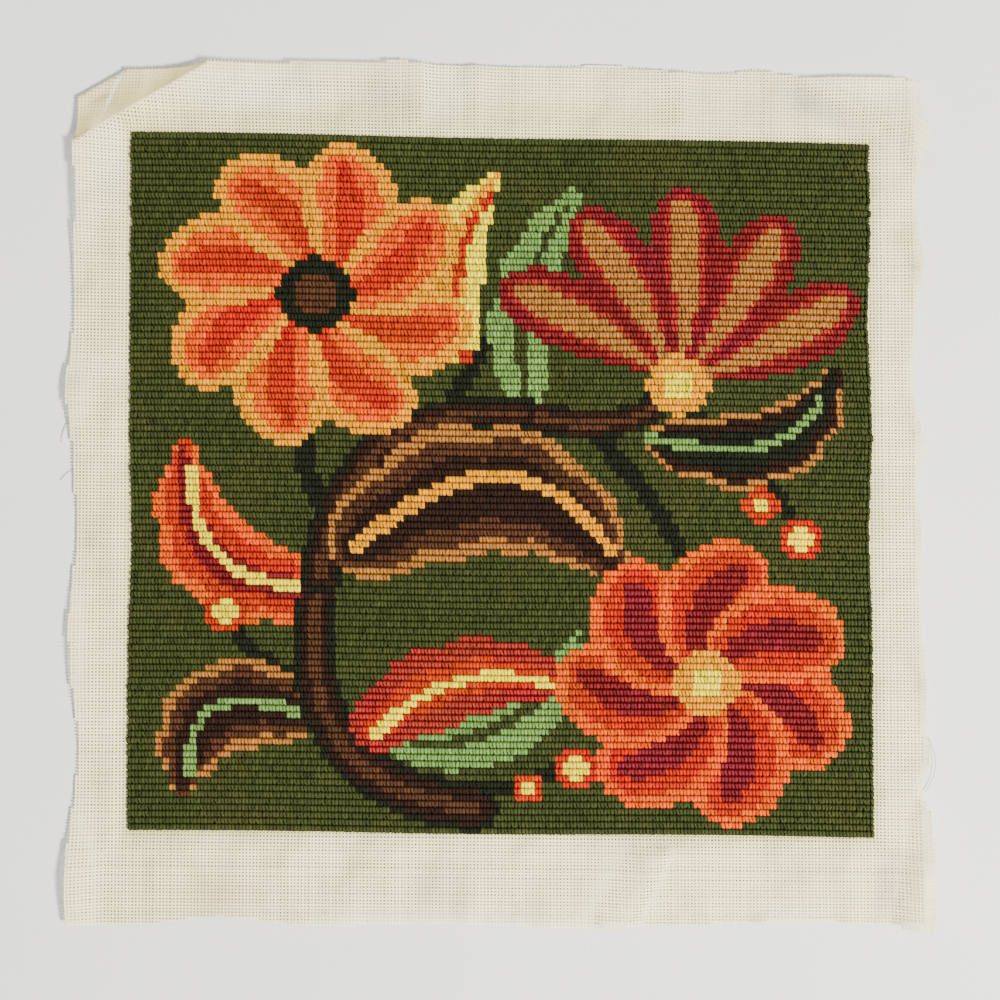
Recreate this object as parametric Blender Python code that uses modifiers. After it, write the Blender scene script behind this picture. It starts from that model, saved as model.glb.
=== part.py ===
"""A needlepoint canvas panel, laid out flat and seen from above.

Two pieces: the canvas, a cut square of stiff single-thread cotton canvas whose unworked margin
ripples, creases and lifts at its cut edges, and the needlework, a field of upright wool stitches
whose rows stand up as ribs. X runs to the right, Y up the panel and Z out of its face, in metres.
The origin is under the middle of the sheet, on the surface that it lies on.
"""

import math
from collections import namedtuple

import bmesh
import bpy
from mathutils import Vector

MM = 0.001

# The canvas, and how finely the sheet is divided across a margin and across the field
CANVAS_THICK = 1.0 * MM
MARGIN_CELLS = 5
MIDDLE_CELLS = 50

# The sheet lies flat as far as this round the corners of the field. The sides of that flat part
# bow in a little, and past it the wool on the sheet's back holds the margin off the surface.
FIELD_CLEARANCE = 2.5 * MM
SIDE_BOW = 1.5 * MM
MARGIN_LIFT = 1.0 * MM
LIFT_REACH = 6.0 * MM

# The margin ripples past this distance from the flat part
FREE_DISTANCE = 12 * MM

# What lies nearer to the surface than this is pressed flat on it
PRESSED = 0.05 * MM

# An edge's waves die out inwards over this share of the sheet
WAVE_FADE = 0.055

# Faces this near to level are joined, and points this near to each other are merged
FLAT = 0.001 * MM
FLAT_ANGLE = math.radians(0.06)
SLIVER = 0.7 * MM

# Moves the middle of the sheet's outline to the origin
TO_MIDDLE = Vector((0.25, -0.53, 0)) * MM

# The needlework: upright stitches over two canvas threads, so a row is about 3.5 mm deep
ROW_COUNT = 105
BED_GAP = 0.3 * MM
NEEDLEWORK_UNDER = CANVAS_THICK + BED_GAP
VALLEY_Z = 2.2 * MM
CROWN_Z = 3.2 * MM
SHOULDER = 0.2
LEFT_END_BULGE = 0.25 * MM
RIGHT_END_BULGE = 0.7 * MM
COLUMN_COUNT = 5
ROW_SWAY = 0.35 * MM
ROW_SWAY_TURNS = 1.6

# The four corners of each piece, in millimetres: top left, top right, bottom left, bottom right
Corners = namedtuple("Corners", "top_left top_right bottom_left bottom_right")
CANVAS_CUT = Corners((-224.8, 229.9), (220.1, 218.2), (-229.6, -226.7), (229.6, -228.8))
NEEDLEWORK_CUT = Corners((-195.2, 192.8), (194.1, 186.3), (-197.5, -176.4), (196.6, -180.3))

# Where an edge swings out or in: its place along the side, the half width and the reach outward
Wave = namedtuple("Wave", "side at half_width out")
CANVAS_WAVES = (
    Wave("top", 31, 148, 3.4),
    Wave("top", -55, 13, 1.5),
    Wave("top", 58, 21, 1.8),
    Wave("top", 137, 13, 2.8),
    Wave("right", -2, 143, -4.6),
    Wave("right", 189, 12, 4.5),
    Wave("right", 121, 13, 3.6),
    Wave("right", 67, 16, -2.0),
    Wave("right", 28, 12, 3.2),
    Wave("right", -20, 13, 1.2),
    Wave("right", -102, 18, 0.8),
    Wave("right", -156, 8.5, -4.0),
    Wave("bottom", -148, 26, -4.6),
    Wave("bottom", -38, 37, -1.9),
    Wave("bottom", 158, 48, -3.6),
    Wave("left", 157, 26, -1.6),
    Wave("left", 59, 18, 2.6),
    Wave("left", -18, 26, -3.0),
    Wave("left", -134, 34, -4.9),
)
NEEDLEWORK_WAVES = (
    Wave("left", -23, 32, -1.6),
    Wave("right", 93, 21, -1.5),
    Wave("right", 31, 7.5, 0.9),
    Wave("right", -23, 32, -1.2),
)

# Where a cut edge lifts off the surface: how high, and how far in from the edge
Curl = namedtuple("Curl", "side at half_width rise reach")
CURLS = (
    Curl("left", 162, 32, 4.5, 20),
    Curl("left", 54, 17, 4.5, 17),
    Curl("left", -81, 32, 3.6, 15),
    Curl("left", -205, 26, 6.5, 22),
    Curl("right", 189, 12, 4.0, 11),
    Curl("right", 121, 13, 3.6, 10),
    Curl("right", 32, 12, 3.8, 10),
    Curl("right", -20, 14, 3.0, 9),
    Curl("right", -107, 20, 3.2, 9),
    Curl("top", -82, 42, 2.4, 18),
    Curl("bottom", -38, 52, 1.6, 9),
)

# Soft creases in the margin, as ridges from one place to another, with a width on each side
Crease = namedtuple("Crease", "x0 y0 x1 y1 rise left_width right_width")
CREASE_END = 10.0
CREASES = (
    Crease(-43, 190, -42, 236, 2.6, 9.0, 5.0),
    Crease(-13, 190, -12, 234, 1.4, 6.0, 5.0),
    Crease(94, 188, 95, 228, 1.8, 8.0, 5.0),
    Crease(61, -234, 88, -180, 3.8, 13.0, 6.5),
)

# Corners and strips that stand up beyond a bend line; beyond is to the right of its direction
Bend = namedtuple("Bend", "x0 y0 x1 y1 rise reach")
BENDS = (
    Bend(205, 185, 143, 219, 5.0, 24.0),
    Bend(202, -234, 212, -184, 5.0, 17.0),
)

# The top left corner is bent down over a ridge, and its tip is tucked under
RIDGE_TOP = Vector((-149.7, 229.3))
RIDGE_LEFT = Vector((-224.3, 187.5))
RIDGE_RISE_TOP = 7.5 * MM
RIDGE_RISE_LEFT = 5.0 * MM
RIDGE_SHARE_POWER = 1.7
FLAP_LENGTH = 22.5 * MM
FLAP_SHORTENED = 4.0 * MM
FLAP_DROP_POWER = 1.5
TUCK_RADIUS = 1.7 * MM
TUCK_STEPS = 5
FLAP_LINES = (-26, -18, -12, -7, -3, 0, 1.5, 3.5, 6, 9, 13, 18)


def smooth(share):
    """0 below 0, 1 above 1 and an even S between."""
    share = min(1.0, max(0.0, share))
    return share * share * (3 - 2 * share)


def bump(distance, half_width):
    return math.exp(-((distance / half_width) ** 2))


def between(corners, across, down):
    """The point of a four-cornered piece, from its left edge across and its top edge down."""
    rows = [Vector(corner) for corner in corners]
    top = rows[0].lerp(rows[1], across)
    bottom = rows[2].lerp(rows[3], across)
    return top.lerp(bottom, down) * MM


# About where the flat part starts and ends, as shares of the way across or down the sheet
FLAT_SPAN = (0.0685, 0.9215)


def field_share(axis, line, other):
    """The share across or down the sheet of a grid line, laid so that lines run round the field.

    A line is its span, 0 for the first margin, 1 for the field and 2 for the last margin, and
    its part of that span. The other share says how far along the line the point is.
    """
    a, b, c, d = CANVAS_CUT
    e, f, g, h = NEEDLEWORK_CUT
    if axis == "across":
        starts, ends, near, far = (a[0], c[0]), (b[0], d[0]), (e[0], g[0]), (f[0], h[0])
    else:
        starts, ends, near, far = (a[1], b[1]), (c[1], d[1]), (e[1], f[1]), (g[1], h[1])
    start, end, first, last = (p + (q - p) * other for p, q in (starts, ends, near, far))
    along = (other - FLAT_SPAN[0]) / (FLAT_SPAN[1] - FLAT_SPAN[0])
    bow = SIDE_BOW * max(0.0, 4 * along * (1 - along))
    clear = (FIELD_CLEARANCE - bow) / MM / abs(end - start)
    first = (first - start) / (end - start) - clear
    last = (last - start) / (end - start) + clear
    knots = (0.0, first, last, 1.0)
    span, part = line
    return knots[span] + (knots[span + 1] - knots[span]) * part


def grid_lines():
    """The grid lines from one edge of the sheet to the other, as (span, part of the span)."""
    lines = []
    for span, count in enumerate((MARGIN_CELLS, MIDDLE_CELLS, MARGIN_CELLS)):
        lines += [(span, k / count) for k in range(count)]
    return lines + [(2, 1.0)]


def swing(waves, side, along):
    """How far an edge swings outward at a place along it."""
    rows = [wave for wave in waves if wave.side == side]
    return sum(w.out * MM * bump(along - w.at * MM, w.half_width * MM) for w in rows)


def placed(corners, waves, fade, across, down):
    """A point of a piece with its edges' waves, which die out inwards over the fade share."""
    point = between(corners, across, down)
    shares = {"left": across, "right": 1 - across, "top": down, "bottom": 1 - down}
    ways = {"left": (-1, 0), "right": (1, 0), "top": (0, 1), "bottom": (0, -1)}
    moved = point.copy()
    for side, share in shares.items():
        along = point.y if side in ("left", "right") else point.x
        outward = swing(waves, side, along) * (1 - smooth(share / fade))
        moved += Vector(ways[side]) * outward
    return moved


def beyond(line_start, line_end, point):
    """How far a point lies to the right of a line, seen along it."""
    way = (line_end - line_start).normalized()
    return (point - line_start).dot(Vector((way.y, -way.x)))


def grid_point(across_line, down_line):
    """The point of the sheet, before it is shaped, where two of its grid lines cross."""
    down = field_share("down", down_line, 0.5)
    across = field_share("across", across_line, down)
    down = field_share("down", down_line, across)
    return placed(CANVAS_CUT, CANVAS_WAVES, WAVE_FADE, across, down)


# The corners of the flat part: top left, top right, bottom left, bottom right
FLAT_CORNERS = [grid_point((across, 0), (down, 0)) for down in (1, 2) for across in (1, 2)]


def past_side(line_start, line_end, point):
    """How far a point lies beyond a side of the flat part, which bows in between its corners."""
    side = line_end - line_start
    along = (point - line_start).dot(side) / side.length_squared
    return beyond(line_start, line_end, point) + SIDE_BOW * max(0.0, 4 * along * (1 - along))


def outside(point):
    """How far a point of the sheet lies outside its flat part, and 0 within it."""
    a, b, c, d = FLAT_CORNERS
    sides = ((a, c), (d, b), (b, a), (c, d))
    return max(0.0, *(past_side(*side, point) for side in sides))


def edge_distance(side, point):
    a, b, c, d = (Vector(corner) * MM for corner in CANVAS_CUT)
    lines = {"left": (a, c), "right": (d, b), "top": (b, a), "bottom": (c, d)}
    return max(0.0, -beyond(*lines[side], point))


def margin_rise(point):
    """How high the margin stands off the surface at a point, apart from the turned corner."""
    rise = 0.0
    for curl in CURLS:
        along = point.y if curl.side in ("left", "right") else point.x
        inward = edge_distance(curl.side, point) / (curl.reach * MM)
        rise += curl.rise * bump(along / MM - curl.at, curl.half_width) * (1 - smooth(inward))
    for crease in CREASES:
        start = Vector((crease.x0, crease.y0)) * MM
        end = Vector((crease.x1, crease.y1)) * MM
        away = beyond(start, end, point) / MM
        width = crease.right_width if away > 0 else crease.left_width
        along = (point - start).dot((end - start).normalized()) / MM
        past_end = max(0.0, -along, along - (end - start).length / MM)
        rise += crease.rise * bump(away, width) * bump(past_end, CREASE_END)
    for bend in BENDS:
        start = Vector((bend.x0, bend.y0)) * MM
        end = Vector((bend.x1, bend.y1)) * MM
        rise += bend.rise * smooth(beyond(start, end, point) / (bend.reach * MM))
    free = outside(point)
    return rise * MM * smooth(free / FREE_DISTANCE) + MARGIN_LIFT * min(1.0, free / LIFT_REACH)


def ridge_rise(point):
    """The height of the turned corner's ridge beside a point."""
    start, end = RIDGE_TOP * MM, RIDGE_LEFT * MM
    along = (point - start).dot((end - start).normalized()) / (end - start).length
    along = min(1.0, max(0.0, along))
    return RIDGE_RISE_TOP + (RIDGE_RISE_LEFT - RIDGE_RISE_TOP) * along


def flap(past):
    """How far out and how high the turned corner lies, at a length of cloth past its ridge."""
    fold_out = FLAP_LENGTH - FLAP_SHORTENED
    half_turn = math.pi * TUCK_RADIUS
    if past < FLAP_LENGTH:
        left = 1 - past / FLAP_LENGTH
        return past - FLAP_SHORTENED * (1 - left**3), left**FLAP_DROP_POWER
    if past < FLAP_LENGTH + half_turn:
        turn = (past - FLAP_LENGTH) / TUCK_RADIUS
        return fold_out + TUCK_RADIUS * math.sin(turn), math.cos(turn) / 2 - 0.5
    return fold_out - (past - FLAP_LENGTH - half_turn), -1.0


def shaped(point):
    """The place in space of a point of the sheet, on its face side."""
    start, end = RIDGE_TOP * MM, RIDGE_LEFT * MM
    past = beyond(start, end, point)
    if past <= 0:
        free = outside(point)
        share = free / (free - past) if free > 0 else 0.0
        rise = ridge_rise(point) * share**RIDGE_SHARE_POWER
        return Vector((*point, CANVAS_THICK + rise + margin_rise(point)))
    way = (end - start).normalized()
    out = Vector((way.y, -way.x))
    plan, height = flap(past)
    z = MARGIN_LIFT + 2 * TUCK_RADIUS * (1 + min(0.0, height))
    if height > 0:
        z += (CANVAS_THICK + ridge_rise(point) - 2 * TUCK_RADIUS) * height
    moved = point + out * (plan - past)
    return Vector((*moved, z))


def tucked_lines():
    """Where the sheet is scored for the turned corner, as lengths of cloth past its ridge."""
    half_turn = math.pi * TUCK_RADIUS
    lines = [line * MM for line in FLAP_LINES]
    return lines + [FLAP_LENGTH + half_turn * k / TUCK_STEPS for k in range(TUCK_STEPS + 1)]


def new_object(name, bm, material, collection):
    """An object for a piece, moved so that the middle of the sheet's outline is the origin."""
    mesh = bpy.data.meshes.new(name)
    bm.to_mesh(mesh)
    bm.free()
    obj = bpy.data.objects.new(name, mesh)
    obj.location = TO_MIDDLE
    mesh.materials.append(material)
    collection.objects.link(obj)
    return obj


def make_material(name, colour, roughness):
    material = bpy.data.materials.new(name)
    material.use_nodes = True
    shader = material.node_tree.nodes["Principled BSDF"]
    shader.inputs["Base Color"].default_value = (*colour, 1)
    shader.inputs["Roughness"].default_value = roughness
    return material


def unit_grid(bm, columns, rows):
    """A grid over the unit square, from 0 to 1 across and down."""
    bmesh.ops.create_grid(bm, x_segments=columns, y_segments=rows, size=0.5)
    bmesh.ops.translate(bm, vec=(0.5, 0.5, 0), verts=bm.verts)


def collection_graph():
    bpy.context.view_layer.update()
    return bpy.context.evaluated_depsgraph_get()


def join_flat_faces(bm):
    """Joins the faces of the flat part, whose grid isn't needed. The sloping faces stay."""
    flat_faces = {face for face in bm.faces if max(v.co.z for v in face.verts) < CANVAS_THICK + FLAT}
    inner_verts = [v for v in bm.verts if flat_faces.issuperset(v.link_faces)]
    inner_edges = [e for e in bm.edges if flat_faces.issuperset(e.link_faces)]
    bmesh.ops.dissolve_limit(bm, angle_limit=FLAT_ANGLE, verts=inner_verts, edges=inner_edges)


def make_canvas(collection):
    """The sheet: cut flat, scored along the turned corner, shaped, then given its thickness."""
    lines = grid_lines()
    last = len(lines) - 1
    bm = bmesh.new()
    unit_grid(bm, last, last)
    for vert in bm.verts:
        place = grid_point(lines[round(vert.co.x * last)], lines[round((1 - vert.co.y) * last)])
        vert.co = (*place, 0)
    start, end = RIDGE_TOP * MM, RIDGE_LEFT * MM
    way = (end - start).normalized()
    out = Vector((way.y, -way.x))
    for line in tucked_lines():
        everything = bm.verts[:] + bm.edges[:] + bm.faces[:]
        where = Vector((*(start + out * line), 0))
        bmesh.ops.bisect_plane(bm, geom=everything, plane_co=where, plane_no=(*out, 0), dist=1e-5)
    bmesh.ops.remove_doubles(bm, verts=bm.verts, dist=SLIVER)
    for vert in bm.verts:
        vert.co = shaped(vert.co.xy)
    join_flat_faces(bm)
    bmesh.ops.triangulate(bm, faces=bm.faces)
    material = make_material("sized_cotton", (0.83, 0.80, 0.68), 0.85)
    canvas = new_object("canvas", bm, material, collection)
    thick = canvas.modifiers.new("thickness", "SOLIDIFY")
    thick.thickness = CANVAS_THICK
    thick.offset = -1
    sheet = bpy.data.meshes.new_from_object(canvas.evaluated_get(collection_graph()))
    canvas.modifiers.clear()
    canvas.data = sheet
    for vert in sheet.vertices:
        if vert.co.z < PRESSED:
            vert.co.z = 0
    return canvas


def rib_lines():
    """The lines down the field, as (share of its height, whether on a rib's crown)."""
    lines = []
    for row in range(ROW_COUNT):
        lines.append((row / ROW_COUNT, False))
        lines.append(((row + SHOULDER) / ROW_COUNT, True))
        lines.append(((row + 1 - SHOULDER) / ROW_COUNT, True))
    return lines + [(1.0, False)]


def make_needlework(collection):
    """The worked field: one rib for each row of stitches, on a flat back over the canvas."""
    lines = rib_lines()
    bm = bmesh.new()
    unit_grid(bm, COLUMN_COUNT, len(lines) - 1)
    for vert in bm.verts:
        across = vert.co.x
        down, crown = lines[round((1 - vert.co.y) * (len(lines) - 1))]
        place = placed(NEEDLEWORK_CUT, NEEDLEWORK_WAVES, 1 / COLUMN_COUNT, across, down)
        place.y += ROW_SWAY * math.sin(2 * math.pi * ROW_SWAY_TURNS * across)
        if crown and across > 1 - 1e-4:
            place.x += RIGHT_END_BULGE
        if crown and across < 1e-4:
            place.x -= LEFT_END_BULGE
        vert.co = (*place, CROWN_Z if crown else VALLEY_Z)
    rim = [edge for edge in bm.edges if edge.is_boundary]
    walls = bmesh.ops.extrude_edge_only(bm, edges=rim)["geom"]
    for item in walls:
        if isinstance(item, bmesh.types.BMVert):
            item.co.z = NEEDLEWORK_UNDER
    back = [item for item in walls if isinstance(item, bmesh.types.BMEdge)]
    bmesh.ops.contextual_create(bm, geom=[edge for edge in back if edge.is_boundary])
    bmesh.ops.recalc_face_normals(bm, faces=bm.faces)
    material = make_material("worked_wool", (0.09, 0.12, 0.03), 0.95)
    return new_object("needlework", bm, material, collection)


def main():
    for obj in list(bpy.data.objects):
        bpy.data.objects.remove(obj)
    collection = bpy.data.collections.new("needlepoint_canvas_panel")
    bpy.context.scene.collection.children.link(collection)
    make_canvas(collection)
    make_needlework(collection)


main()
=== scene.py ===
import math
from collections import namedtuple

import bpy
import numpy as np
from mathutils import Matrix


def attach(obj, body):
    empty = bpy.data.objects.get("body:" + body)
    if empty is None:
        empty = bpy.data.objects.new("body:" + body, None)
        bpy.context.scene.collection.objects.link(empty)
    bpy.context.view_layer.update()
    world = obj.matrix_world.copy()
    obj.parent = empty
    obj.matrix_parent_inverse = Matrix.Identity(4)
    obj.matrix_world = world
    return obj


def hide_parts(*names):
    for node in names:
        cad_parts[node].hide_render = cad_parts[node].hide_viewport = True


# The looks of the needlepoint canvas panel: its wool stitches, its woven canvas and their finish.
# Every stitch and every canvas thread is a closed form of its own, and they are joined into one
# piece for each wool, one for the warps and one for the wefts. Lengths are in metres. X runs along
# the rows of stitches, Y up the panel and Z out of its worked face.

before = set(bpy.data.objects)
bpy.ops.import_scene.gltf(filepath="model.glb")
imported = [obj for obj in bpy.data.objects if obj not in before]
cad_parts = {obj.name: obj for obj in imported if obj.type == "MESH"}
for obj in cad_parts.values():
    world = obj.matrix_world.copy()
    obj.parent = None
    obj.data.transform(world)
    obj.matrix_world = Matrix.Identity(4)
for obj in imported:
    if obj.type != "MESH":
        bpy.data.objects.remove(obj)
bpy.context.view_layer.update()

MM = 0.001
rng = np.random.default_rng(14)

# The solids' own sizes, which the stitches and the threads follow
TO_MIDDLE = np.array((0.25, -0.53)) * MM
CANVAS_THICK = 1.0 * MM
FIELD_CLEARANCE = 2.5 * MM
SIDE_BOW = 1.5 * MM
MARGIN_LIFT = 1.0 * MM
LIFT_REACH = 6.0 * MM
FREE_DISTANCE = 12 * MM
ROW_COUNT = 105
ROW_SWAY = 0.35 * MM
ROW_SWAY_TURNS = 1.6
NEEDLEWORK_FADE = 0.2

# The four corners of each piece, in millimetres: top left, top right, bottom left, bottom right
CANVAS_CUT = np.array(((-224.8, 229.9), (220.1, 218.2), (-229.6, -226.7), (229.6, -228.8))) * MM
NEEDLEWORK_CUT = np.array(((-195.2, 192.8), (194.1, 186.3), (-197.5, -176.4), (196.6, -180.3))) * MM

# Where an edge swings out or in: its place along the side, the half width and the reach outward
Wave = namedtuple("Wave", "side at half_width out")
CANVAS_WAVES = (
    Wave("top", 31, 148, 3.4),
    Wave("top", -55, 13, 1.5),
    Wave("top", 58, 21, 1.8),
    Wave("top", 137, 13, 2.8),
    Wave("right", -2, 143, -4.6),
    Wave("right", 189, 12, 4.5),
    Wave("right", 121, 13, 3.6),
    Wave("right", 67, 16, -2.0),
    Wave("right", 28, 12, 3.2),
    Wave("right", -20, 13, 1.2),
    Wave("right", -102, 18, 0.8),
    Wave("right", -156, 8.5, -4.0),
    Wave("bottom", -148, 26, -4.6),
    Wave("bottom", -38, 37, -1.9),
    Wave("bottom", 158, 48, -3.6),
    Wave("left", 157, 26, -1.6),
    Wave("left", 59, 18, 2.6),
    Wave("left", -18, 26, -3.0),
    Wave("left", -134, 34, -4.9),
)
NEEDLEWORK_WAVES = (
    Wave("left", -23, 32, -1.6),
    Wave("right", 93, 21, -1.5),
    Wave("right", 31, 7.5, 0.9),
    Wave("right", -23, 32, -1.2),
)

# Where a cut edge lifts off the surface: how high, and how far in from the edge
Curl = namedtuple("Curl", "side at half_width rise reach")
CURLS = (
    Curl("left", 162, 32, 4.5, 20),
    Curl("left", 54, 17, 4.5, 17),
    Curl("left", -81, 32, 3.6, 15),
    Curl("left", -205, 26, 6.5, 22),
    Curl("right", 189, 12, 4.0, 11),
    Curl("right", 121, 13, 3.6, 10),
    Curl("right", 32, 12, 3.8, 10),
    Curl("right", -20, 14, 3.0, 9),
    Curl("right", -107, 20, 3.2, 9),
    Curl("top", -82, 42, 2.4, 18),
    Curl("bottom", -38, 52, 1.6, 9),
)

# Soft creases in the margin, as ridges from one place to another, with a width on each side
Crease = namedtuple("Crease", "x0 y0 x1 y1 rise left_width right_width")
CREASE_END = 10.0
CREASES = (
    Crease(-43, 190, -42, 236, 2.6, 9.0, 5.0),
    Crease(-13, 190, -12, 234, 1.4, 6.0, 5.0),
    Crease(94, 188, 95, 228, 1.8, 8.0, 5.0),
    Crease(61, -234, 88, -180, 3.8, 13.0, 6.5),
)

# Corners and strips that stand up beyond a bend line; beyond is to the right of its direction
Bend = namedtuple("Bend", "x0 y0 x1 y1 rise reach")
BENDS = (
    Bend(205, 185, 143, 219, 5.0, 24.0),
    Bend(202, -234, 212, -184, 5.0, 17.0),
)

# The top left corner is bent down over a ridge, and its tip is tucked under
RIDGE_TOP = np.array((-149.7, 229.3)) * MM
RIDGE_LEFT = np.array((-224.3, 187.5)) * MM
RIDGE_RISE_TOP = 7.5 * MM
RIDGE_RISE_LEFT = 5.0 * MM
RIDGE_SHARE_POWER = 1.7
FLAP_LENGTH = 22.5 * MM
FLAP_SHORTENED = 4.0 * MM
FLAP_DROP_POWER = 1.5
TUCK_RADIUS = 1.7 * MM

# The weave: a stitch stands between two warp threads and passes over two weft threads
STITCHES_ACROSS = 216
WEFTS_IN_ROW = 2
MARGIN_THREADS = 28
PITCH = 1.814 * MM

# The canvas threads: three-sided with a flat side up, each a little astray. The needlework hides
# them, and there they have a point only at every few crossings.
THREAD_WIDTH = 1.0 * MM
THREAD_WIDTH_SPREAD = 0.05
THREAD_HEIGHT = 0.7 * MM
THREAD_RIPPLE = 0.12 * MM
THREAD_DEPTH = 0.4 * MM
THREAD_STRAY = 0.06 * MM
CROSSING_STRAY = 0.03 * MM
HIDDEN_STEP = 30
SHORTEST_RUN = 3
THREAD_TONE = 0.5
THREAD_TONE_SPREAD = 0.2

# A cut thread ends a little past or short of the cut, and thins out
FRAY_SHORT = -0.1 * MM
FRAY_LONG = 0.45 * MM
SHORTEST_END = 0.2 * MM
FRAYED_WIDTH = 0.65

# The size has shut the weave more in some places than in others: waves along X and Y, and where
# each starts. It is shut most on the turned corner, and somewhat up to its ridge.
SIZED_SHUT = 0.07
SIZED_REACH = 60 * MM
SIZED_WAVES = ((1.3, 0.0, 1.0), (0.0, 1.0, 0.4), (0.9, 0.9, 0.0))
TURNED_SHUT = 0.4
RIDGE_SHUT = 0.6
RIDGE_SHUT_REACH = 32 * MM

# The tint beside the needlework, and the painted shade of the turned corner, whose flap faces away from
# the light: it pales towards its tip and hides the painted shade at the threads' rims
TINT_REACH = 2.2 * MM
TINT_MOST = 0.8
TURN_BLUR = 2 * MM
TURN_PALES = 0.55
TURNED_EVEN = 0.6

# The stitches: a crown of wool that leans as it likes, on flanks that close on its neighbours'. A
# stitch has four rings, at shares of its row's height, and they reach into the rows beside it.
STITCH_LENGTH = 3.52
RING_STEPS = (0.0, 0.27, 0.73, 1.0)
FLANK_STEPS = (-0.01, 0.22, 0.78, 1.01)
CROWN_REACH = (0.02, 0.07)
CROWN_HEIGHTS = np.array((1.9, 3.08, 3.1, 1.9)) * MM
CROWN_HEIGHT_SPREAD = 0.07 * MM
FLANK_HEIGHTS = np.array((1.15, 2.66, 2.66, 1.15)) * MM
CROWN_WIDTH = 0.96 * MM
CROWN_WIDTH_SPREAD = 0.13
CROWN_LEAN = 0.36 * MM
CROWN_LEAN_SPREAD = 0.30 * MM
FLANK_WIDTH = 1.98 * MM
ROW_STRAY = 0.24 * MM
STITCH_STRAY = 0.07 * MM
FIRST_STITCH_OUT = -0.1 * MM
LAST_STITCH_OUT = 0.4 * MM

# The points of a stitch in front and behind, its tone, where the four points of a ring lie
# across its yarn, and how far along the yarn a stitch may start, these two in millimetres
FRONT_POINTS = 16
BACK_POINTS = 4
STITCH_POINTS = FRONT_POINTS + BACK_POINTS
ACROSS_YARN = (-0.99, -0.42, 0.42, 0.99)
YARN_START_MOST = 50
STITCH_TONE = 0.5
STITCH_TONE_SPREAD = 0.18

# How deep in the shade a point is: in the valley between two rows, beside a crown and at the back
VALLEY = 1.5
BESIDE = 0.38
BEHIND = 0.25

# Behind a stitch its wool floats across to the next one, as a flat four-cornered sliver
FLOAT_LOW = 0.03 * MM
FLOAT_HIGH = 0.33 * MM
FLOAT_WIDTH = 1.5 * MM
FLOAT_SPREAD = 0.05 * MM


def smooth(share):
    """0 below 0, 1 above 1 and an even S between."""
    share = np.clip(share, 0.0, 1.0)
    return share * share * (3 - 2 * share)


def bump(distance, half_width):
    return np.exp(-((distance / half_width) ** 2))


def between(corners, across, down):
    """Points of a four-cornered piece, from its left edge across and its top edge down."""
    across = np.asarray(across)[..., None]
    down = np.asarray(down)[..., None]
    top = corners[0] + (corners[1] - corners[0]) * across
    bottom = corners[2] + (corners[3] - corners[2]) * across
    return top + (bottom - top) * down


def swing(waves, side, along):
    """How far an edge swings outward at a place along it."""
    rows = [wave for wave in waves if wave.side == side]
    return sum(w.out * MM * bump(along - w.at * MM, w.half_width * MM) for w in rows)


def placed(corners, waves, fade, across, down):
    """Points of a piece with its edges' waves, which die out inwards over the fade share."""
    points = between(corners, across, down)
    shares = {"left": across, "right": 1 - across, "top": down, "bottom": 1 - down}
    ways = {"left": (-1, 0), "right": (1, 0), "top": (0, 1), "bottom": (0, -1)}
    moved = points.copy()
    for side, share in shares.items():
        along = points[..., 1] if side in ("left", "right") else points[..., 0]
        outward = swing(waves, side, along) * (1 - smooth(share / fade))
        moved += np.array(ways[side]) * outward[..., None]
    return moved


def beyond(start, end, points):
    """How far points lie to the right of a line, seen along it."""
    way = (end - start) / np.linalg.norm(end - start)
    return (points - start) @ np.array((way[1], -way[0]))


def sides_of(corners):
    """The sides of a four-cornered piece as lines whose right side is outside."""
    a, b, c, d = corners
    return {"left": (a, c), "right": (d, b), "top": (b, a), "bottom": (c, d)}


def outside(points):
    """How far points of the sheet lie outside its flat part, whose sides bow in a little."""
    most = np.zeros(points.shape[:-1])
    for start, end in sides_of(NEEDLEWORK_CUT).values():
        side = end - start
        along = (points - start) @ side / (side @ side)
        bow = SIDE_BOW * np.maximum(0.0, 4 * along * (1 - along))
        most = np.maximum(most, beyond(start, end, points) - FIELD_CLEARANCE + bow)
    return most


def past_cut(points):
    """How far points lie outside the canvas's wavy cut, and less than 0 inside it."""
    most = np.full(points.shape[:-1], -1.0)
    for side, line in sides_of(CANVAS_CUT).items():
        along = points[..., 1] if side in ("left", "right") else points[..., 0]
        most = np.maximum(most, beyond(*line, points) - swing(CANVAS_WAVES, side, along))
    return most


def margin_rise(points):
    """How high the margin stands off the surface, apart from the turned corner."""
    rise = np.zeros(points.shape[:-1])
    lines = sides_of(CANVAS_CUT)
    for curl in CURLS:
        along = points[..., 1] if curl.side in ("left", "right") else points[..., 0]
        inward = -beyond(*lines[curl.side], points) / (curl.reach * MM)
        rise += curl.rise * bump(along / MM - curl.at, curl.half_width) * (1 - smooth(inward))
    for crease in CREASES:
        start = np.array((crease.x0, crease.y0)) * MM
        end = np.array((crease.x1, crease.y1)) * MM
        length = np.linalg.norm(end - start)
        away = beyond(start, end, points) / MM
        width = np.where(away > 0, crease.right_width, crease.left_width)
        along = (points - start) @ (end - start) / length
        past_end = np.maximum(0.0, np.maximum(-along, along - length)) / MM
        rise += crease.rise * bump(away, width) * bump(past_end, CREASE_END)
    for bend in BENDS:
        start = np.array((bend.x0, bend.y0)) * MM
        end = np.array((bend.x1, bend.y1)) * MM
        rise += bend.rise * smooth(beyond(start, end, points) / (bend.reach * MM))
    free = outside(points)
    return rise * MM * smooth(free / FREE_DISTANCE) + MARGIN_LIFT * np.clip(free / LIFT_REACH, 0, 1)


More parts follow.
